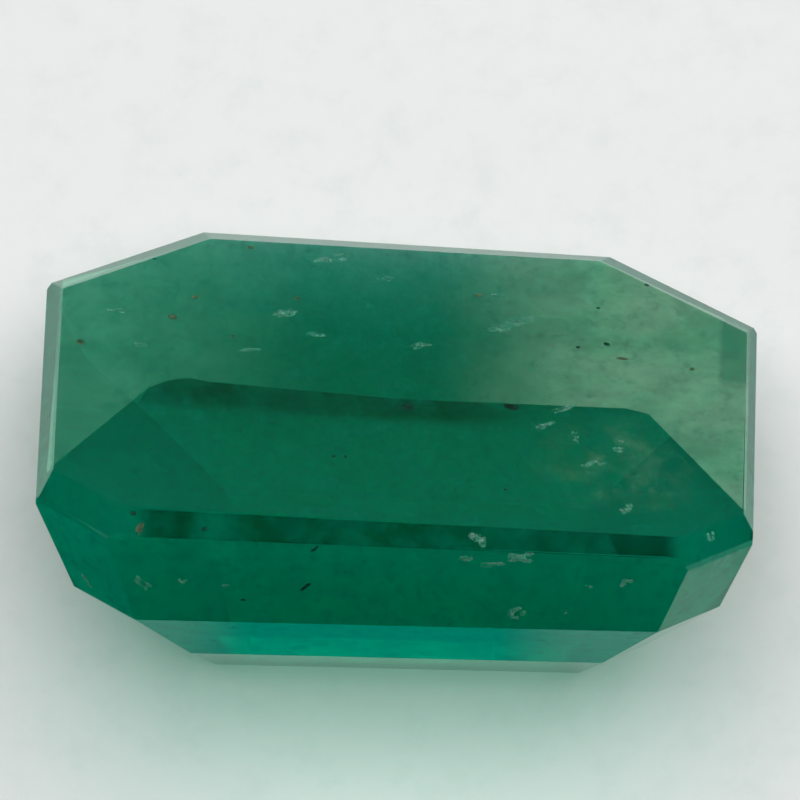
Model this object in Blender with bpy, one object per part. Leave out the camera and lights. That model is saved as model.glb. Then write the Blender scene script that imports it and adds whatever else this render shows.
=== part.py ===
"""An emerald cut with steps: a low crown, a long keel and eight sides, lying on one pavilion facet."""
import math

import bmesh
import bpy
from mathutils import Matrix, Vector
from mathutils.geometry import intersect_plane_plane

MM = 0.001

# The stone is cut upright, with its table up, its length along X and its keel on Z = 0.
# A level is given as depth under the table, half length, and half width towards -Y and +Y.
# The pavilion's first step starts just under the girdle, and each step ends at the next level
UPPER_LEVEL = (0.460 * MM, 4.940 * MM, 3.815 * MM, 3.815 * MM)
FIRST_LEVEL = (1.882 * MM, 4.484 * MM, 3.263 * MM, 2.964 * MM)
SECOND_LEVEL = (3.401 * MM, 3.458 * MM, 1.735 * MM, 1.790 * MM)
KEEL_DEPTH = 4.700 * MM
KEEL_LENGTH = 5.078 * MM
KEEL_LEVEL = (KEEL_DEPTH, KEEL_LENGTH / 2, 0.0, 0.0)
LEVELS = (UPPER_LEVEL, FIRST_LEVEL, SECOND_LEVEL, KEEL_LEVEL)

# What each corner takes off the length and the width at the girdle, how much of that is left
# at each level, and its crown facet's angle and share of the cut at the table. The two corners
# on the resting side are cut deeper
CORNERS = {
    "front_left": {
        "side": (-1, -1), "cut": (1.000 * MM, 0.945 * MM), "left": (1.0, 0.87, 0.60),
        "crown_angle": math.radians(31.6), "table_share": 0.91,
    },
    "front_right": {
        "side": (1, -1), "cut": (0.892 * MM, 0.732 * MM), "left": (1.0, 0.95, 0.66),
        "crown_angle": math.radians(42.5), "table_share": 1.0,
    },
    "back_left": {
        "side": (-1, 1), "cut": (2.134 * MM, 1.611 * MM), "left": (1.0, 0.90, 0.60),
        "crown_angle": math.radians(24.4), "table_share": 0.95,
    },
    "back_right": {
        "side": (1, 1), "cut": (2.127 * MM, 1.691 * MM), "left": (1.0, 0.90, 0.60),
        "crown_angle": math.radians(21.9), "table_share": 0.98,
    },
}

# The table slopes down towards +X, so the stone is thicker at its left end
TABLE_SLOPE = math.radians(2.3)
TABLE_LENGTH = 9.572 * MM
TABLE_WIDTH = 7.064 * MM
CROWN_SIDE_ANGLE = math.radians(22.7)
CROWN_END_ANGLE = math.radians(53.2)
GIRDLE_INSET = 0.03 * MM

BLOCK_SIZE = 20.0 * MM
# Two directions closer than this, as a cosine, count as the same
SAME_WAY = 0.99
CUT_TOLERANCE = 1e-6 * MM
MERGE_DISTANCE = 0.002 * MM

EMERALD_GREEN = (0.02, 0.30, 0.17, 1.0)
EMERALD_IOR = 1.58
POLISHED_ROUGHNESS = 0.02


def half_sizes(level, direction):
    """A level's half length, and its half width on the side that a direction faces."""
    depth, half_length, front_half_width, back_half_width = level
    return half_length, (back_half_width if direction.y > 0 else front_half_width)


def side_line(direction, half_length, half_width):
    """How far from the centre a long side or an end lies, along the way it faces."""
    return abs(direction.x) * half_length + abs(direction.y) * half_width


def corner_direction(corner):
    """The way a corner faces in plan."""
    cut_x, cut_y = corner["cut"]
    return Vector((corner["side"][0] * cut_y, corner["side"][1] * cut_x, 0.0)).normalized()


def corner_line(corner, half_length, half_width, share):
    """How far from the centre a corner's edge lies at one level."""
    direction = corner_direction(corner)
    cut_x = corner["cut"][0] * share
    on_the_long_side = Vector((
        corner["side"][0] * (half_length - cut_x),
        corner["side"][1] * half_width,
        0.0,
    ))
    return direction.dot(on_the_long_side)


def step_plane(direction, upper, lower):
    """A pavilion facet's plane, through its upper and lower edge, each given as depth and distance."""
    upper_depth, upper_distance = upper
    lower_depth, lower_distance = lower
    point = direction * upper_distance + Vector((0.0, 0.0, KEEL_DEPTH - upper_depth))
    outward = direction * (lower_depth - upper_depth)
    outward.z = -(upper_distance - lower_distance)
    return point, outward.normalized()


def pavilion_planes():
    """Three planes for each of the four sides and four corners, from the girdle to the keel."""
    columns = []
    for direction in (Vector((0, -1, 0)), Vector((0, 1, 0)), Vector((-1, 0, 0)), Vector((1, 0, 0))):
        columns.append((direction, [(level[0], side_line(direction, *half_sizes(level, direction))) for level in LEVELS]))
    for corner in CORNERS.values():
        direction = corner_direction(corner)
        edges = [
            (level[0], corner_line(corner, *half_sizes(level, direction), share))
            for level, share in zip(LEVELS, corner["left"])
        ]
        keel_end = abs(direction.x) * KEEL_LEVEL[1]
        edges.append((KEEL_DEPTH, keel_end))
        columns.append((direction, edges))
    return [
        (direction, [step_plane(direction, upper, lower) for upper, lower in zip(edges, edges[1:])])
        for direction, edges in columns
    ]


def table_normal():
    """The way the table faces."""
    return Vector((math.sin(TABLE_SLOPE), 0.0, math.cos(TABLE_SLOPE)))


def crown_plane(direction):
    """A crown facet's plane, through the table's edge on that side."""
    centre = Vector((0.0, 0.0, KEEL_DEPTH))
    up = table_normal()
    along = (direction - up * direction.dot(up)).normalized()
    if abs(direction.x) > SAME_WAY:
        angle, distance = CROWN_END_ANGLE, TABLE_LENGTH / 2
    elif abs(direction.y) > SAME_WAY:
        angle, distance = CROWN_SIDE_ANGLE, TABLE_WIDTH / 2
    else:
        corner = next(c for c in CORNERS.values() if corner_direction(c).dot(direction) > SAME_WAY)
        angle = corner["crown_angle"]
        distance = corner_line(corner, TABLE_LENGTH / 2, TABLE_WIDTH / 2, corner["table_share"])
    return centre + along * distance, (up * math.cos(angle) + along * math.sin(angle))


def cut(stone, point, outward):
    """Takes away everything outside one facet's plane and closes the stone with that facet."""
    everything = stone.verts[:] + stone.edges[:] + stone.faces[:]
    sliced = bmesh.ops.bisect_plane(
        stone, geom=everything, dist=CUT_TOLERANCE, plane_co=point, plane_no=outward, clear_outer=True
    )
    rim = [item for item in sliced["geom_cut"] if isinstance(item, bmesh.types.BMEdge)]
    if rim:
        bmesh.ops.contextual_create(stone, geom=rim)


def cut_girdle(stone, crown, pavilion):
    """Flattens the sharp edge where a crown facet meets the pavilion into a narrow band."""
    point, along = intersect_plane_plane(*crown, *pavilion)
    outward = along.cross(table_normal()).normalized()
    if outward.dot(pavilion[1]) < 0:
        outward = -outward
    cut(stone, point - outward * GIRDLE_INSET, outward)


def cut_stone():
    """The whole stone, cut from a block one facet at a time."""
    stone = bmesh.new()
    bmesh.ops.create_cube(stone, size=BLOCK_SIZE)
    cut(stone, Vector((0.0, 0.0, KEEL_DEPTH)), table_normal())
    for direction, steps in pavilion_planes():
        for point, outward in steps:
            cut(stone, point, outward)
        crown = crown_plane(direction)
        cut(stone, *crown)
    for direction, steps in pavilion_planes():
        cut_girdle(stone, crown_plane(direction), steps[0])
    bmesh.ops.remove_doubles(stone, verts=stone.verts[:], dist=MERGE_DISTANCE)
    bmesh.ops.recalc_face_normals(stone, faces=stone.faces[:])
    return stone


def emerald_material():
    """Clear green."""
    material = bpy.data.materials.new("emerald")
    material.use_nodes = True
    shader = material.node_tree.nodes["Principled BSDF"]
    shader.inputs["Base Color"].default_value = EMERALD_GREEN
    shader.inputs["Roughness"].default_value = POLISHED_ROUGHNESS
    shader.inputs["Metallic"].default_value = 0.0
    shader.inputs["IOR"].default_value = EMERALD_IOR
    shader.inputs["Transmission Weight"].default_value = 1.0
    return material


for old in list(bpy.data.objects):
    bpy.data.objects.remove(old, do_unlink=True)

collection = bpy.data.collections.new("cut_emerald_stone")
bpy.context.scene.collection.children.link(collection)

shape = cut_stone()
mesh = bpy.data.meshes.new("cut_emerald")
shape.to_mesh(mesh)
shape.free()
mesh.materials.append(emerald_material())

# The stone lies on the last facet of the side that faces +Y, with its box centred on the origin
resting_slope = math.atan2(KEEL_DEPTH - SECOND_LEVEL[0], SECOND_LEVEL[3])
turn = Matrix.Rotation(-resting_slope, 4, "X")
corners = [turn @ vertex.co for vertex in mesh.vertices]
lowest = Vector(min(c[axis] for c in corners) for axis in range(3))
highest = Vector(max(c[axis] for c in corners) for axis in range(3))

emerald = bpy.data.objects.new("cut_emerald", mesh)
emerald.rotation_euler = (-resting_slope, 0.0, 0.0)
emerald.location = (-(lowest.x + highest.x) / 2, -(lowest.y + highest.y) / 2, -lowest.z)
collection.objects.link(emerald)
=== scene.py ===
"""A cut emerald on a pale sheet: the polished stone, its haze and the small marks inside it."""
import math
import random

import bmesh
import bpy
from mathutils import Matrix, Vector


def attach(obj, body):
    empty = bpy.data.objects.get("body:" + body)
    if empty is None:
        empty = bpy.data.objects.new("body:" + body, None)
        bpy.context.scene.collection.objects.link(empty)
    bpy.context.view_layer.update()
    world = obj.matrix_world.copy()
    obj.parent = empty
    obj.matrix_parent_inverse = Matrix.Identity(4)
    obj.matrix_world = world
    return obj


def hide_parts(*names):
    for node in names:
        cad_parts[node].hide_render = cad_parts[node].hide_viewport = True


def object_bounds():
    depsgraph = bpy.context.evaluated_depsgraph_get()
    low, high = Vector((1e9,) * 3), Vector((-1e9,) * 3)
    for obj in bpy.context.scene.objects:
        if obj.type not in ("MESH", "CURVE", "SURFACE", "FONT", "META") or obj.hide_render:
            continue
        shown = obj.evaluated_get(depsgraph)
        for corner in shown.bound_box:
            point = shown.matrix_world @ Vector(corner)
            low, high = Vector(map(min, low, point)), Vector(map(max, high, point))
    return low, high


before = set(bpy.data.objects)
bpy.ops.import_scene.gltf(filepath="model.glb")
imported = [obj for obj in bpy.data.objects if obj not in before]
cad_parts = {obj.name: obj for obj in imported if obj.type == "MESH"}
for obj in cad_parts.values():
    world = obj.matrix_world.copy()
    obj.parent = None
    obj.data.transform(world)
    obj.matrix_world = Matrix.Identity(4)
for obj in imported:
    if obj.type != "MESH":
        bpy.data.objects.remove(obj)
cad_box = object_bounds()
scene = bpy.context.scene

# The view: the camera looks down on the stone's long side and is turned a little, so the
# table's edges run slightly downhill to the right, as they do in the photograph.
MM = 0.001
CAMERA_AIM = Vector((0.014 * MM, 0.453 * MM, 2.796 * MM))
CAMERA_AZIMUTH = math.radians(1.2)
CAMERA_ELEVATION = math.radians(68.4)
CAMERA_ROLL = math.radians(0.24)
CAMERA_DISTANCE = 0.45
PICTURE_WIDTH = 11.154 * MM
SENSOR_WIDTH = 36.0
NEAREST_SEEN = 0.01

towards_camera = Vector((
    math.sin(CAMERA_AZIMUTH) * math.cos(CAMERA_ELEVATION),
    -math.cos(CAMERA_AZIMUTH) * math.cos(CAMERA_ELEVATION),
    math.sin(CAMERA_ELEVATION),
))
camera_data = bpy.data.cameras.new("camera")
camera_data.sensor_width = SENSOR_WIDTH
camera_data.lens = SENSOR_WIDTH * CAMERA_DISTANCE / PICTURE_WIDTH
camera_data.clip_start = NEAREST_SEEN
camera = bpy.data.objects.new("camera", camera_data)
camera.matrix_world = (
    Matrix.Translation(CAMERA_AIM + towards_camera * CAMERA_DISTANCE)
    @ towards_camera.to_track_quat("Z", "Y").to_matrix().to_4x4()
    @ Matrix.Rotation(CAMERA_ROLL, 4, "Z")
)
scene.collection.objects.link(camera)
scene.camera = camera

# The light: one wide soft box above and a little behind the stone, and a dim room around it.
SOFT_BOX_SIZE = 0.30
SOFT_BOX_HEIGHT = 0.26
SOFT_BOX_BACK = 0.035
SOFT_BOX_SIDE = 0.015
SOFT_BOX_POWER = 0.90
ROOM_COLOUR = (0.55, 0.84, 0.80, 1.0)
ROOM_STRENGTH = 0.12
LIGHT_BOUNCES = 12
SHINE_BOUNCES = 10
HAZE_BOUNCES = 2
SEE_THROUGH_LAYERS = 16
BRIGHTEST_BOUNCE = 6.0

soft_box_data = bpy.data.lights.new("soft_box", "AREA")
soft_box_data.shape = "SQUARE"
soft_box_data.size = SOFT_BOX_SIZE
soft_box_data.energy = SOFT_BOX_POWER
soft_box = bpy.data.objects.new("soft_box", soft_box_data)
soft_box.location = (SOFT_BOX_SIDE, SOFT_BOX_BACK, SOFT_BOX_HEIGHT)
soft_box.rotation_euler = soft_box.location.to_track_quat("Z", "Y").to_euler()
scene.collection.objects.link(soft_box)

room = bpy.data.worlds.new("room")
room.use_nodes = True
room_light = room.node_tree.nodes["Background"]
room_light.inputs["Color"].default_value = ROOM_COLOUR
room_light.inputs["Strength"].default_value = ROOM_STRENGTH
scene.world = room
scene.view_settings.view_transform = "Standard"
scene.cycles.max_bounces = LIGHT_BOUNCES
scene.cycles.transmission_bounces = LIGHT_BOUNCES
scene.cycles.transparent_max_bounces = SEE_THROUGH_LAYERS
scene.cycles.glossy_bounces = SHINE_BOUNCES
scene.cycles.volume_bounces = HAZE_BOUNCES
scene.cycles.sample_clamp_indirect = BRIGHTEST_BOUNCE

# The sheet that the stone lies on: smooth white card with faint grey mottling. It ends not far
# behind the stone, so that the table mirrors the dim room. In front of the stone a soft green
# light is painted into the card as emission, a painted pool of light that has come through the stone.
CARD_LOW = (-35 * MM, -35 * MM)
CARD_HIGH = (35 * MM, 26 * MM)
CARD_DROP = 0.005 * MM
CARD_WHITE = (0.83, 0.815, 0.815, 1.0)
CARD_GREY = (0.785, 0.785, 0.78, 1.0)
CARD_ROUGHNESS = 0.7
CARD_SHINE = 0.2
MOTTLE_SCALE = 1500.0
MOTTLE_DETAIL = (5.0, 0.65)
MOTTLE_EDGES = (0.30, 0.55)
FOOT_OF_STONE = (0.0, -3.0 * MM, 0.0)
PAINTED_GLOW_COLOUR = (0.42, 1.0, 0.78, 1.0)
PAINTED_GLOW_STRENGTH = 0.18
PAINTED_GLOW_REACH = (1.0 * MM, 4.4 * MM)
PAINTED_GLOW_NARROWING = (0.62, 1.0, 1.0)


def new_look(name, roughness, base=None, shine=None):
    """A material's shader, nodes and links, and the material itself."""
    material = bpy.data.materials.new(name)
    material.use_nodes = True
    shader = material.node_tree.nodes["Principled BSDF"]
    shader.inputs["Roughness"].default_value = roughness
    if base is not None:
        shader.inputs["Base Color"].default_value = base
    if shine is not None:
        shader.inputs["Specular IOR Level"].default_value = shine
    return material, shader, material.node_tree.nodes, material.node_tree.links


def add_noise(nodes, links, place, scale, detail, roughness):
    """A noise of the given scale, read at a place."""
    noise = nodes.new("ShaderNodeTexNoise")
    noise.inputs["Scale"].default_value = scale
    noise.inputs["Detail"].default_value = detail
    noise.inputs["Roughness"].default_value = roughness
    links.new(place, noise.inputs["Vector"])
    return noise.outputs["Fac"]


def add_range(nodes, links, value, low, high, to_low=0.0, to_high=1.0):
    """A smooth change from one value to another."""
    change = nodes.new("ShaderNodeMapRange")
    change.interpolation_type = "SMOOTHSTEP"
    change.inputs["From Min"].default_value = low
    change.inputs["From Max"].default_value = high
    change.inputs["To Min"].default_value = to_low
    change.inputs["To Max"].default_value = to_high
    links.new(value, change.inputs["Value"])
    return change.outputs["Result"]


def add_blend(nodes, links, share, first, second):
    """One colour turning into another by a share, each a colour or a socket."""
    blend = nodes.new("ShaderNodeMix")
    blend.data_type = "RGBA"
    for name, colour in (("A", first), ("B", second)):
        if isinstance(colour, tuple):
            blend.inputs[name].default_value = colour
        else:
            links.new(colour, blend.inputs[name])
    links.new(share, blend.inputs["Factor"])
    return blend.outputs["Result"]


def add_math(nodes, links, operation, first, second):
    """One step of arithmetic, with each input a socket or a number."""
    node = nodes.new("ShaderNodeMath")
    node.operation = operation
    for socket, value in zip(node.inputs, (first, second)):
        if isinstance(value, (int, float)):
            socket.default_value = value
        else:
            links.new(value, socket)
    return node.outputs["Value"]


def add_split(nodes, links, place):
    """The X, Y and Z of a place."""
    split = nodes.new("ShaderNodeSeparateXYZ")
    links.new(place, split.inputs["Vector"])
    return split.outputs["X"], split.outputs["Y"], split.outputs["Z"]


def add_distance(nodes, links, place, centre):
    """How far a place is from a centre."""
    distance = nodes.new("ShaderNodeVectorMath")
    distance.operation = "DISTANCE"
    distance.inputs[1].default_value = centre
    links.new(place, distance.inputs[0])
    return distance.outputs["Value"]


def flat_square(name, low, high, height):
    """A level square mesh between two corners."""
    shape = bmesh.new()
    bmesh.ops.create_grid(shape, x_segments=1, y_segments=1, size=0.5)
    bmesh.ops.scale(shape, vec=(high[0] - low[0], high[1] - low[1], 1.0), verts=shape.verts)
    middle = ((low[0] + high[0]) / 2, (low[1] + high[1]) / 2, height)
    bmesh.ops.translate(shape, verts=shape.verts, vec=middle)
    mesh = bpy.data.meshes.new(name)
    shape.to_mesh(mesh)
    shape.free()
    square = bpy.data.objects.new(name, mesh)
    scene.collection.objects.link(square)
    return square


card = flat_square("card", CARD_LOW, CARD_HIGH, -CARD_DROP)

card_look, shader, nodes, links = new_look("white_card", CARD_ROUGHNESS, shine=CARD_SHINE)
place = nodes.new("ShaderNodeTexCoord").outputs["Object"]
mottle = add_noise(nodes, links, place, MOTTLE_SCALE, *MOTTLE_DETAIL)
white_share = add_range(nodes, links, mottle, *MOTTLE_EDGES)
links.new(add_blend(nodes, links, white_share, CARD_GREY, CARD_WHITE), shader.inputs["Base Color"])
# Painted light: a soft green emission around the stone's foot, standing in for light through the stone.
shader.inputs["Emission Color"].default_value = PAINTED_GLOW_COLOUR
narrowed = nodes.new("ShaderNodeVectorMath")
narrowed.operation = "MULTIPLY"
narrowed.inputs[1].default_value = PAINTED_GLOW_NARROWING
links.new(place, narrowed.inputs[0])
from_foot = add_distance(nodes, links, narrowed.outputs["Vector"], FOOT_OF_STONE)
painted_glow = add_range(nodes, links, from_foot, *PAINTED_GLOW_REACH, PAINTED_GLOW_STRENGTH, 0.0)
links.new(painted_glow, shader.inputs["Emission Strength"])
card_look.cycles.emission_sampling = "NONE"
card.data.materials.append(card_look)

# A green card lies in front of the stone, where only the stone shows it: it shines with its own
# light and is a painted reflection in the near facets, which keeps the white of the sheet out of
# them. The painted reflection is brightest at the stone's foot, and pale beside that.
REFLECTION_CARD_LOW = (-18 * MM, -14 * MM)
REFLECTION_CARD_HIGH = (9 * MM, -2.75 * MM)
REFLECTION_CARD_HEIGHT = -0.003 * MM
NEAR_REFLECTED_GREEN = (0.0, 0.34, 0.28, 1.0)
FAR_REFLECTED_GREEN = (0.0, 0.09, 0.065, 1.0)
LEFT_REFLECTED_TEAL = (0.0, 0.075, 0.085, 1.0)
GREEN_FADE = (3.0 * MM, 6.0 * MM)
LEFT_FADE = (-6.0 * MM, -4.8 * MM, 1.0, 0.0)
PALE_MIDDLE = -0.3 * MM
PALE_START = (1.7 * MM, 2.9 * MM)
PALE_ROW = (-5.2 * MM, -4.2 * MM)
PALE_LEFT_END = (-4.6 * MM, -3.6 * MM)
PALE_SHARE = 0.32
PALE_RIGHT_END = (4.6 * MM, 5.6 * MM)
PALE_RIGHT_SHARE = 0.7
PATCH_SCALE = 900.0
PATCH_DETAIL = (4.0, 0.6)
PATCH_RANGE = (0.3, 0.6, 0.45, 1.0)

painted_reflection_card = flat_square("painted_reflection_card", REFLECTION_CARD_LOW, REFLECTION_CARD_HIGH, REFLECTION_CARD_HEIGHT)
for way in ("camera", "diffuse", "transmission", "volume_scatter", "shadow"):
    setattr(painted_reflection_card, "visible_" + way, False)

# The emission colour is the painted reflection: teal at the stone's foot, darker further off, bluer teal
# to the left.
painted_reflection_look, shader, nodes, links = new_look("painted_reflection_card", 1.0, base=(0.0, 0.0, 0.0, 1.0), shine=0.0)
place = nodes.new("ShaderNodeTexCoord").outputs["Object"]
far_share = add_range(nodes, links, add_distance(nodes, links, place, FOOT_OF_STONE), *GREEN_FADE)
along, across, _ = add_split(nodes, links, place)
left_share = add_range(nodes, links, along, *LEFT_FADE)
far_colour = add_blend(nodes, links, left_share, FAR_REFLECTED_GREEN, LEFT_REFLECTED_TEAL)
links.new(add_blend(nodes, links, far_share, NEAR_REFLECTED_GREEN, far_colour), shader.inputs["Emission Color"])
shader.inputs["Emission Strength"].default_value = 1.0
aside = add_math(nodes, links, "ABSOLUTE", add_math(nodes, links, "SUBTRACT", along, PALE_MIDDLE), 0.0)
pale = add_range(nodes, links, aside, *PALE_START, 0.0, PALE_SHARE)
pale = add_math(nodes, links, "MULTIPLY", pale, add_range(nodes, links, across, *PALE_ROW))
pale = add_math(nodes, links, "MULTIPLY", pale, add_range(nodes, links, along, *PALE_LEFT_END))
patches = add_noise(nodes, links, place, PATCH_SCALE, *PATCH_DETAIL)
at_right = add_range(nodes, links, along, *PALE_RIGHT_END, 0.0, PALE_RIGHT_SHARE)
patches = add_range(nodes, links, patches, *PATCH_RANGE)
at_right = add_math(nodes, links, "MULTIPLY", at_right, patches)
pale = add_math(nodes, links, "MAXIMUM", pale, at_right)
links.new(add_math(nodes, links, "SUBTRACT", 1.0, pale), shader.inputs["Alpha"])
painted_reflection_look.cycles.emission_sampling = "NONE"
painted_reflection_card.data.materials.append(painted_reflection_look)

# The stone: one clear green crystal with flat polished facets. Polishing has rounded the edges
# between the facets a little, and has left faint smears on the facets.
EDGE_ROUNDING = 0.022 * MM
EDGE_SEGMENTS = 2
FLAT_ANGLE = math.radians(0.5)
MERGE_DISTANCE = 0.001 * MM
STONE_IOR = 1.58
STONE_TINT = (0.70, 1.0, 0.96, 1.0)
REFLECTION_TINT = (0.0, 1.0, 0.78, 1.0)
ABSORBED_COLOUR = (0.0, 0.89, 0.745, 1.0)
ABSORPTION = 1200.0
SMEAR_SCALE = 1.1
SMEAR_STRETCH = 2.5
SMEAR_ROUGHNESS = (0.004, 0.035)
SMALLEST_FACET = 0.5e-6
CLOUD_DETAIL = 4.0
CLOUD_ROUGHNESS = 0.62

cad_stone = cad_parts["cut_emerald"]
stone_shape = bmesh.new()
stone_shape.from_mesh(cad_stone.data)
bmesh.ops.remove_doubles(stone_shape, verts=stone_shape.verts, dist=MERGE_DISTANCE)
bmesh.ops.dissolve_limit(
    stone_shape, angle_limit=FLAT_ANGLE, verts=stone_shape.verts, edges=stone_shape.edges
)
stone_shape.normal_update()
facets = [
    (face.calc_center_median_weighted(), face.normal.copy())
    for face in stone_shape.faces
    if face.calc_area() > SMALLEST_FACET
]
bmesh.ops.bevel(
    stone_shape,
    geom=stone_shape.edges[:],
    affect="EDGES",
    offset=EDGE_ROUNDING,
    segments=EDGE_SEGMENTS,
    profile=0.5,
    material=-1,
    clamp_overlap=True,
)
bmesh.ops.triangulate(stone_shape, faces=stone_shape.faces)
bmesh.ops.recalc_face_normals(stone_shape, faces=stone_shape.faces)
for face in stone_shape.faces:
    face.smooth = False


def finished_piece(name, shape, look):
    """Turns a finished shape into a piece of the stone."""
    mesh = bpy.data.meshes.new(name)
    shape.to_mesh(mesh)
    shape.free()
    mesh.materials.append(look)
    piece = bpy.data.objects.new(name, mesh)
    scene.collection.objects.link(piece)
    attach(piece, "root")
    return piece


def cloud_group():
    """A mask of soft clouds, with the scale in clouds to the mm."""
    group = bpy.data.node_groups.new("crystal_clouds", "ShaderNodeTree")
    for name, value in (
        ("Scale", 1.0), ("Stretch", 1.0),
        ("From Low", 0.35), ("From High", 0.65), ("To Low", 0.0), ("To High", 1.0),
    ):
        socket = group.interface.new_socket(name=name, in_out="INPUT", socket_type="NodeSocketFloat")
        socket.default_value = value
    group.interface.new_socket(name="Mask", in_out="OUTPUT", socket_type="NodeSocketFloat")
    nodes = group.nodes
    links = group.links
    given = nodes.new("NodeGroupInput")
    result = nodes.new("NodeGroupOutput")
    place = nodes.new("ShaderNodeTexCoord")
    in_mm = nodes.new("ShaderNodeMapping")
    in_mm.inputs["Scale"].default_value = (1 / MM, 1 / MM, 1 / MM)
    links.new(place.outputs["Object"], in_mm.inputs["Vector"])
    sizes = nodes.new("ShaderNodeCombineXYZ")
    sizes.inputs["X"].default_value = 1.0
    links.new(given.outputs["Stretch"], sizes.inputs["Y"])
    links.new(given.outputs["Stretch"], sizes.inputs["Z"])
    stretched = nodes.new("ShaderNodeVectorMath")
    stretched.operation = "MULTIPLY"
    links.new(in_mm.outputs["Vector"], stretched.inputs[0])
    links.new(sizes.outputs["Vector"], stretched.inputs[1])
    noise = nodes.new("ShaderNodeTexNoise")
    noise.inputs["Detail"].default_value = CLOUD_DETAIL
    noise.inputs["Roughness"].default_value = CLOUD_ROUGHNESS
    links.new(stretched.outputs["Vector"], noise.inputs["Vector"])
    links.new(given.outputs["Scale"], noise.inputs["Scale"])
    change = nodes.new("ShaderNodeMapRange")
    change.interpolation_type = "SMOOTHSTEP"
    links.new(noise.outputs["Fac"], change.inputs["Value"])
    for name, socket in (
        ("From Low", "From Min"), ("From High", "From Max"), ("To Low", "To Min"), ("To High", "To Max"),
    ):
        links.new(given.outputs[name], change.inputs[socket])
    links.new(change.outputs["Result"], result.inputs["Mask"])
    return group


crystal_clouds = cloud_group()


def add_clouds(nodes, scale, low, high, stretch=1.0, edges=(0.35, 0.65)):
    """The cloud mask between two values."""
    clouds = nodes.new("ShaderNodeGroup")
    clouds.node_tree = crystal_clouds
    clouds.inputs["Scale"].default_value = scale
    clouds.inputs["Stretch"].default_value = stretch
    clouds.inputs["From Low"].default_value = edges[0]
    clouds.inputs["From High"].default_value = edges[1]
    clouds.inputs["To Low"].default_value = low
    clouds.inputs["To High"].default_value = high
    return clouds.outputs["Mask"]


stone_look, shader, nodes, links = new_look("clear_emerald", SMEAR_ROUGHNESS[0], base=STONE_TINT)
shader.inputs["Specular Tint"].default_value = REFLECTION_TINT
shader.inputs["IOR"].default_value = STONE_IOR
shader.inputs["Transmission Weight"].default_value = 1.0
smears = add_clouds(nodes, SMEAR_SCALE, *SMEAR_ROUGHNESS, stretch=SMEAR_STRETCH)
links.new(smears, shader.inputs["Roughness"])
depth_colour = nodes.new("ShaderNodeVolumeAbsorption")
depth_colour.inputs["Color"].default_value = ABSORBED_COLOUR
depth_colour.inputs["Density"].default_value = ABSORPTION
links.new(depth_colour.outputs["Volume"], nodes["Material Output"].inputs["Volume"])
stone = finished_piece("polished_stone", stone_shape, stone_look)
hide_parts("cut_emerald")

# The haze: the whole crystal is faintly milky with liquid-filled pores too small to see, and
# they scatter the light that comes in, so the green glows evenly. It fills the stone to just
# under the facets.
HAZE_INSET = 0.03 * MM
HAZE_COLOUR = (0.0, 1.0, 0.82, 1.0)
HAZE_DENSITY = 280.0
HAZE_FILM = (0.0, 0.42, 0.28, 1.0)
HAZE_FILM_SCALE = 2.0
HAZE_FILM_ALPHA = (0.0, 0.16)
HAZE_FILM_EDGES = (0.38, 0.68)
HAZE_WISP_SCALE = 5.0
HAZE_WISP_ALPHA = (0.0, 0.20)
HAZE_WISP_STRETCH = 0.6
HAZE_WISP_EDGES = (0.50, 0.72)
DULL_ROUGHNESS = 0.9

haze_shape = bmesh.new()
haze_shape.from_mesh(cad_stone.data)
bmesh.ops.remove_doubles(haze_shape, verts=haze_shape.verts, dist=MERGE_DISTANCE)
stone_middle = (Vector(cad_box[0]) + Vector(cad_box[1])) / 2
haze_scale = 1.0 - 2 * HAZE_INSET / (cad_box[1][2] - cad_box[0][2])
bmesh.ops.scale(
    haze_shape, vec=(haze_scale,) * 3, space=Matrix.Translation(-stone_middle), verts=haze_shape.verts
)
haze_look, shader, nodes, links = new_look("milky_haze", DULL_ROUGHNESS, base=HAZE_FILM, shine=0.0)
film = add_clouds(nodes, HAZE_FILM_SCALE, *HAZE_FILM_ALPHA, edges=HAZE_FILM_EDGES)
wisps = add_clouds(
    nodes, HAZE_WISP_SCALE, *HAZE_WISP_ALPHA, stretch=HAZE_WISP_STRETCH, edges=HAZE_WISP_EDGES
)
links.new(add_math(nodes, links, "ADD", film, wisps), shader.inputs["Alpha"])
pores = nodes.new("ShaderNodeVolumeScatter")
pores.inputs["Color"].default_value = HAZE_COLOUR
pores.inputs["Density"].default_value = HAZE_DENSITY
links.new(pores.outputs["Volume"], nodes["Material Output"].inputs["Volume"])
finished_piece("fine_haze", haze_shape, haze_look)

# The veils: thin curtains of tiny fluid drops lie just under the table. They turn both ends and
# the far rim of the table pale, and stop along a straight growth line, in front of which the
# stone is clear and dark.
TABLE_CENTRE = Vector((0.049 * MM, 0.278 * MM, 3.804 * MM))
RESTING_SLOPE = math.radians(35.97)
TABLE_SLOPE = math.radians(2.3)
SIGHT_LEAN = 0.63
VEIL_DEPTHS = (0.05, 0.12)
VEIL_GREEN = (0.54, 0.86, 0.58, 1.0)
VEIL_GREY = (0.72, 0.84, 0.62, 1.0)
VEIL_LEFT_GREEN = (0.38, 0.90, 0.62, 1.0)
VEIL_TURN = (-1.5, 0.8)
GROWTH_LINE = (
    (-4.88, -2.73), (-3.53, -0.45), (-3.24, -0.22), (-2.97, -0.13), (-2.69, -0.20), (-0.03, -0.36),
    (3.12, -0.27), (3.44, -0.38), (3.71, -0.85), (4.77, -2.69),
)
VEIL_RIM = ((4.79, 2.00), (2.72, 3.53), (-2.73, 3.54), (-4.79, 2.26))
VEIL_DIP_ALONG = (4.36, 4.50, 0.0, 0.6)
VEIL_DIP_UP = (0.40, 0.75)
VEIL_RIGHT = (0.3, 3.5, 0.0, 0.57)
VEIL_LEFT = (-4.9, -0.8, 0.24, 0.0)
VEIL_FAR = (1.4, 3.4, 0.0, 0.05)
VEIL_PATCHES = (1.1, 0.72, 1.28)
VEIL_PATCH_EDGES = (0.30, 0.70)
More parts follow.
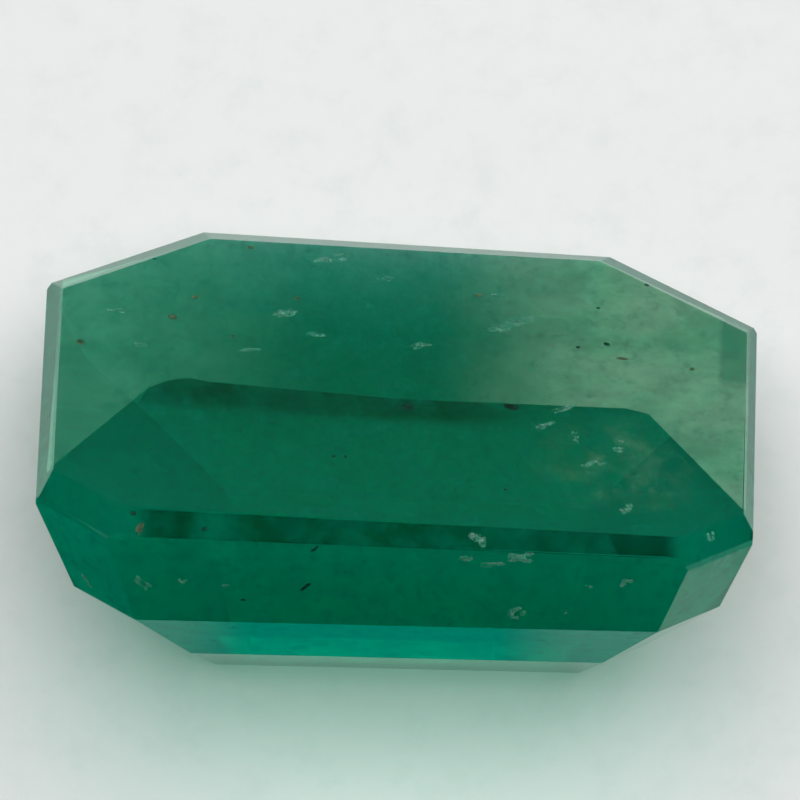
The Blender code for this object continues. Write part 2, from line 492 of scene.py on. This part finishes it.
VEIL_GREY_CLOUDS = (1.0, 0.0, 1.0)

table_turn = Matrix.Rotation(-RESTING_SLOPE, 4, "X") @ Matrix.Rotation(TABLE_SLOPE, 4, "Y")
table_frame = Matrix.Translation(TABLE_CENTRE) @ table_turn


def under_table(x, y, depth):
    """The point that the camera sees at x, y on the table and that lies at a depth under it, in mm."""
    return table_frame @ Vector((x * MM, (y + SIGHT_LEAN * depth) * MM, -depth * MM))


def add_sheet(shape, outline, depth):
    """Adds a flat sheet parallel to the table, whose outline is given as the camera sees it."""
    corners = [shape.verts.new(under_table(x, y, depth)) for x, y in outline]
    sheet = shape.faces.new(corners)
    bmesh.ops.triangulate(shape, faces=[sheet])


def table_place(nodes, links):
    """Object coordinates turned and moved so that they lie in the table's plane, in mm."""
    place = nodes.new("ShaderNodeTexCoord")
    turn = nodes.new("ShaderNodeMapping")
    back = table_frame.inverted()
    turn.inputs["Rotation"].default_value = back.to_euler()
    turn.inputs["Location"].default_value = back.to_translation() / MM
    turn.inputs["Scale"].default_value = (1 / MM, 1 / MM, 1 / MM)
    links.new(place.outputs["Object"], turn.inputs["Vector"])
    return turn.outputs["Vector"]


veil_look, shader, nodes, links = new_look("pale_veil", DULL_ROUGHNESS, shine=0.0)
along, up_table, _ = add_split(nodes, links, table_place(nodes, links))
right_end = add_range(nodes, links, along, *VEIL_RIGHT)
left_end = add_range(nodes, links, along, *VEIL_LEFT)
far_rim = add_range(nodes, links, up_table, *VEIL_FAR)
ends = add_math(nodes, links, "ADD", right_end, left_end)
whole = add_math(nodes, links, "ADD", ends, far_rim)
dip = add_range(nodes, links, along, *VEIL_DIP_ALONG)
dip = add_math(nodes, links, "MULTIPLY", dip, add_range(nodes, links, up_table, *VEIL_DIP_UP))
whole = add_math(nodes, links, "MULTIPLY", whole, add_math(nodes, links, "SUBTRACT", 1.0, dip))
patches = add_clouds(nodes, *VEIL_PATCHES, edges=VEIL_PATCH_EDGES)
links.new(add_math(nodes, links, "MULTIPLY", whole, patches), shader.inputs["Alpha"])
grey_share = add_clouds(nodes, *VEIL_GREY_CLOUDS)
right_colour = add_blend(nodes, links, grey_share, VEIL_GREEN, VEIL_GREY)
right_share = add_range(nodes, links, along, *VEIL_TURN)
veil_colour = add_blend(nodes, links, right_share, VEIL_LEFT_GREEN, right_colour)
links.new(veil_colour, shader.inputs["Base Color"])

veil_shape = bmesh.new()
for depth in VEIL_DEPTHS:
    add_sheet(veil_shape, GROWTH_LINE + VEIL_RIM, depth)
finished_piece("pale_veils", veil_shape, veil_look)

# The shades: dark sheets of painted shade. In front of the growth line lies a darker band, which
# paints shade over the stone's shadowed resting facet seen there, and another fills the crown
# facet nearest the viewer and darkens it.
PAINTED_SHADE_COLOUR = (0.0, 0.055, 0.008, 1.0)
BAND_OUTLINE = (
    (-3.80, -1.30), (-3.53, -0.45), (-3.24, -0.22), (-2.97, -0.13), (-2.69, -0.20), (-0.03, -0.36),
    (2.60, -0.29), (2.60, -1.30),
)
BAND_DEPTH = 0.10
BAND_FADE_ALONG = (0.4, 2.4, 0.85, 0.0)
BAND_FADE_DOWN = (-1.05, -0.55)
CROWN_OUTLINES = (
    ((-3.60, 0.24), (4.03, 0.17), (4.00, -0.16), (-3.60, -0.21)),
    ((2.95, 0.18), (3.80, 0.17), (3.70, -0.15), (3.10, -0.16)),
)
CROWN_SHADE_DEPTH = 0.05
CROWN_SHADE_STEP = 0.01
CROWN_UPPER_EDGE = (-3.3, -3.0, 0.9, 0.0)
CROWN_LEFT_END = (-3.65, -3.35)
CROWN_RIGHT_END = (3.70, 3.95, 1.0, 0.0)
GAP_PLACE = -2.55
GAP_FADE = (0.05, 0.45, 0.35, 1.0)
SHADE_CLOUDS = (1.3, 0.5, 0.9)
NEARLY_LEVEL = 0.9


def facet_frame(facing):
    """A frame on the facet that faces nearest a direction: X across, Y up the facet, Z outwards."""
    direction = Vector(facing).normalized()
    centre, normal = max(facets, key=lambda facet: facet[1].dot(direction))
    across = Vector((1.0, 0.0, 0.0))
    if abs(normal.z) <= NEARLY_LEVEL:
        across = Vector((0.0, 0.0, 1.0)).cross(normal)
    across = (across - normal * across.dot(normal)).normalized()
    turn = Matrix((across, normal.cross(across), normal)).transposed().to_4x4()
    return Matrix.Translation(centre) @ turn


near_crown = facet_frame((0.04, 0.23, 0.97))
near_step = facet_frame((0.0, -0.97, 0.25))
near_second = facet_frame((0.0, -0.99, -0.16))
left_corner = facet_frame((-0.63, -0.77, 0.07))
right_crown = facet_frame((0.46, 0.0, 0.89))

# Painted shade: near-black green sheets that darken the band and the near crown facet.
shade_look, shader, nodes, links = new_look(
    "painted_deep_shade", DULL_ROUGHNESS, base=PAINTED_SHADE_COLOUR, shine=0.0
)
along, up_table, _ = add_split(nodes, links, table_place(nodes, links))
band_along = add_range(nodes, links, along, *BAND_FADE_ALONG)
band_down = add_range(nodes, links, up_table, *BAND_FADE_DOWN)
band = add_math(nodes, links, "MULTIPLY", band_along, band_down)
near_edge = add_range(nodes, links, up_table, *CROWN_UPPER_EDGE)
from_gap = add_math(nodes, links, "ABSOLUTE", add_math(nodes, links, "SUBTRACT", along, GAP_PLACE), 0.0)
for value, fade in ((along, CROWN_LEFT_END), (along, CROWN_RIGHT_END), (from_gap, GAP_FADE)):
    near_edge = add_math(nodes, links, "MULTIPLY", near_edge, add_range(nodes, links, value, *fade))
kept = add_math(nodes, links, "MAXIMUM", band, near_edge)
kept = add_math(nodes, links, "MULTIPLY", kept, add_clouds(nodes, *SHADE_CLOUDS))
links.new(kept, shader.inputs["Alpha"])

shade_shape = bmesh.new()
add_sheet(shade_shape, BAND_OUTLINE, BAND_DEPTH)
for step, outline in enumerate(CROWN_OUTLINES):
    depth = CROWN_SHADE_DEPTH + CROWN_SHADE_STEP * step
    places = [near_crown @ Vector((x * MM, y * MM, -depth * MM)) for x, y in outline]
    corners = [shade_shape.verts.new(place) for place in places]
    bmesh.ops.triangulate(shade_shape, faces=[shade_shape.faces.new(corners)])
finished_piece("painted_shade_sheets", shade_shape, shade_look)

# The marks: small crystals of other minerals, dark, rusty or white, and short white feathers,
# which are cracks that have healed. They grew in with the stone and lie under its facets.
MARK_DEPTH = 0.038
MARK_FLATNESS = 0.3
LUMP_SHARE = (0.75, 1.25)
FLAKE_SHARE = (0.28, 0.70)
LUMP_FINENESS = 2
FLAKE_FINENESS = 1
MARK_COLOUR_CLOUDS = (9.0, 0.0, 1.0)
MARK_ALPHA_SCALE = 14.0
DARK_SPECKS = (
    (table_frame, 0.09, -0.56, 0.15, 0.16, 0), (table_frame, 1.52, -0.40, 0.19, 0.14, -20),
    (table_frame, -3.53, 2.92, 0.05, 0.05, 0), (table_frame, 3.37, 2.98, 0.07, 0.05, -30),
    (table_frame, 2.70, 2.30, 0.05, 0.05, 0), (table_frame, 2.83, 1.37, 0.09, 0.07, -25),
    (table_frame, 2.43, 1.25, 0.06, 0.05, 0), (table_frame, -0.92, -1.94, 0.07, 0.06, 0),
    (table_frame, -0.75, -1.93, 0.04, 0.07, 10), (table_frame, 1.48, -2.54, 0.06, 0.05, 0),
    (near_crown, -3.61, 0.16, 0.08, 0.07, 0), (near_crown, -2.62, -0.05, 0.10, 0.08, 30),
    (near_step, -1.20, -0.07, 0.24, 0.05, 55), (near_step, -1.08, 0.82, 0.16, 0.05, 50),
    (near_step, -2.06, -0.41, 0.07, 0.05, 0), (near_second, -2.26, 0.62, 0.09, 0.05, -20),
)
RUST_SPECKS = (
    (table_frame, -4.50, 0.64, 0.07, 0.09, 20), (table_frame, -3.23, 1.43, 0.09, 0.08, 0),
    (table_frame, -2.93, 1.98, 0.06, 0.06, 0), (table_frame, -1.51, 2.10, 0.05, 0.05, 0),
    (table_frame, -2.19, 3.36, 0.07, 0.05, 0), (table_frame, -2.38, 1.02, 0.04, 0.04, 0),
    (table_frame, 1.02, 2.45, 0.07, 0.06, 0), (table_frame, 4.03, 0.85, 0.05, 0.05, 0),
    (table_frame, 3.05, 1.02, 0.11, 0.05, 0), (near_crown, -3.51, -0.08, 0.07, 0.13, -15),
)
WHITE_MARKS = (
    (table_frame, 1.40, 1.71, 0.22, 0.11, 35), (table_frame, 1.68, 1.85, 0.16, 0.07, 25),
    (table_frame, -1.63, 1.73, 0.17, 0.08, 40), (table_frame, -2.14, 0.68, 0.13, 0.05, 0),
    (table_frame, -1.07, 3.19, 0.18, 0.09, 20), (table_frame, -0.32, 2.75, 0.09, 0.06, 0),
    (table_frame, 0.24, 1.07, 0.10, 0.06, 35), (table_frame, 2.01, -0.82, 0.05, 0.17, -50),
    (table_frame, 2.28, -0.35, 0.05, 0.15, -50), (table_frame, 2.43, -1.09, 0.04, 0.12, 0),
    (table_frame, 2.68, -1.74, 0.12, 0.08, 30), (table_frame, 3.04, -1.36, 0.07, 0.05, 0),
    (table_frame, -3.66, 0.65, 0.10, 0.07, 0), (table_frame, -4.01, 1.50, 0.12, 0.06, 20),
    (table_frame, -1.20, 1.18, 0.12, 0.05, 0), (table_frame, 1.29, 2.48, 0.08, 0.05, 0),
    (near_step, 1.74, 0.74, 0.15, 0.09, 0), (near_step, 1.39, 0.56, 0.15, 0.05, 5),
    (near_step, 1.01, 0.69, 0.08, 0.05, 0), (near_crown, 1.17, -0.03, 0.10, 0.08, 0),
    (near_step, 1.75, -0.56, 0.10, 0.13, -30), (near_step, 2.71, 0.09, 0.05, 0.04, 0),
    (near_step, 3.24, 0.21, 0.08, 0.08, 0), (near_step, -2.90, -0.01, 0.05, 0.05, 0),
    (near_step, -3.46, -0.06, 0.05, 0.14, 40), (near_step, -2.31, -0.09, 0.04, 0.04, 0),
    (near_step, 2.40, -0.51, 0.05, 0.04, 0), (left_corner, 0.01, -0.69, 0.04, 0.17, 40),
    (right_crown, 0.08, -0.02, 0.06, 0.06, 0), (table_frame, 3.15, -2.85, 0.08, 0.11, 0),
)
# Each kind of mark: its name, its places, how many flakes each has, its size, its darkest and
# lightest colour, its roughness, its alpha's range and the seed of its random shapes
MARK_KINDS = (
    (
        "dark_specks", DARK_SPECKS, 1, 0.55,
        (0.0, 0.010, 0.002, 1.0), (0.0, 0.05, 0.02, 1.0), 0.6, (0.5, 1.0), 3,
    ),
    (
        "rusty_specks", RUST_SPECKS, 1, 0.75,
        (0.16, 0.12, 0.05, 1.0), (0.50, 0.34, 0.18, 1.0), 0.8, (0.3, 0.9), 5,
    ),
    (
        "white_feathers", WHITE_MARKS, 12, 1.0,
        (0.22, 0.78, 0.56, 1.0), (0.80, 1.0, 0.88, 1.0), 0.8, (0.0, 0.36), 7,
    ),
)


def add_mark(shape, where, x, y, length, width, turn, flakes, chance):
    """Adds a small crystal, or a cluster of flakes, under a facet, with its half sizes in mm."""
    lean = SIGHT_LEAN * MARK_DEPTH if where is table_frame else 0.0
    inside = Matrix.Translation((x * MM, (y + lean) * MM, -MARK_DEPTH * MM))
    across = Matrix.Rotation(math.radians(turn), 4, "Z")
    alone = flakes == 1
    fineness = LUMP_FINENESS if alone else FLAKE_FINENESS
    spread = 0.0 if alone else 1.0
    for _ in range(flakes):
        lump = bmesh.ops.create_icosphere(shape, subdivisions=fineness, radius=1.0)["verts"]
        for point in lump:
            point.co *= chance.uniform(*LUMP_SHARE)
        share = 1.0 if alone else chance.uniform(*FLAKE_SHARE)
        sideways = chance.uniform(-spread, spread) * length * MM
        upwards = chance.uniform(-spread, spread) * width * MM
        thickness = MARK_FLATNESS * min(length, width) * share
        sizes = Matrix.Diagonal((length * share * MM, width * share * MM, thickness * MM, 1.0))
        moved = Matrix.Translation((sideways, upwards, 0.0))
        bmesh.ops.transform(shape, matrix=where @ inside @ across @ moved @ sizes, verts=lump)


for name, marks, flakes, size, dark, light, roughness, alpha, seed in MARK_KINDS:
    look, shader, nodes, links = new_look(name, roughness)
    light_share = add_clouds(nodes, *MARK_COLOUR_CLOUDS)
    links.new(add_blend(nodes, links, light_share, dark, light), shader.inputs["Base Color"])
    links.new(add_clouds(nodes, MARK_ALPHA_SCALE, *alpha), shader.inputs["Alpha"])
    chance = random.Random(seed)
    mark_shape = bmesh.new()
    for where, x, y, length, width, turn in marks:
        add_mark(mark_shape, where, x, y, length * size, width * size, turn, flakes, chance)
    finished_piece(name, mark_shape, look)

# The smoke: a torn brownish-white veil hangs in the dark part of the table, at its right. It is
# a healed crack full of fine drops, and its rim is frayed.
SMOKE_DEPTH = 0.09
SMOKE_MIDDLE = (3.1, -1.7, 0.0)
SMOKE_FADE = (0.5, 1.5)
SMOKE_PALE = (0.55, 0.80, 0.58, 1.0)
SMOKE_BROWN = (0.42, 0.50, 0.30, 1.0)
SMOKE_BROWN_CLOUDS = (2.2, 0.0, 1.0)
SMOKE_WISPS = (2.4, 0.0, 0.42)
SMOKE_STRETCH = 0.7
SMOKE_EDGES = (0.36, 0.80)
SMOKE_OUTLINE = (
    (1.60, -0.45), (3.30, -0.40), (4.60, -2.60), (4.50, -3.00), (3.60, -3.35), (1.60, -3.35),
)

smoke_look, shader, nodes, links = new_look("torn_smoke", DULL_ROUGHNESS, shine=0.0)
brown_share = add_clouds(nodes, *SMOKE_BROWN_CLOUDS)
links.new(add_blend(nodes, links, brown_share, SMOKE_PALE, SMOKE_BROWN), shader.inputs["Base Color"])
from_middle = add_distance(nodes, links, table_place(nodes, links), SMOKE_MIDDLE)
fading = add_range(nodes, links, from_middle, *SMOKE_FADE, 1.0, 0.0)
wisps = add_clouds(nodes, *SMOKE_WISPS, stretch=SMOKE_STRETCH, edges=SMOKE_EDGES)
links.new(add_math(nodes, links, "MULTIPLY", wisps, fading), shader.inputs["Alpha"])
smoke_shape = bmesh.new()
add_sheet(smoke_shape, SMOKE_OUTLINE, SMOKE_DEPTH)
finished_piece("torn_smoke", smoke_shape, smoke_look)
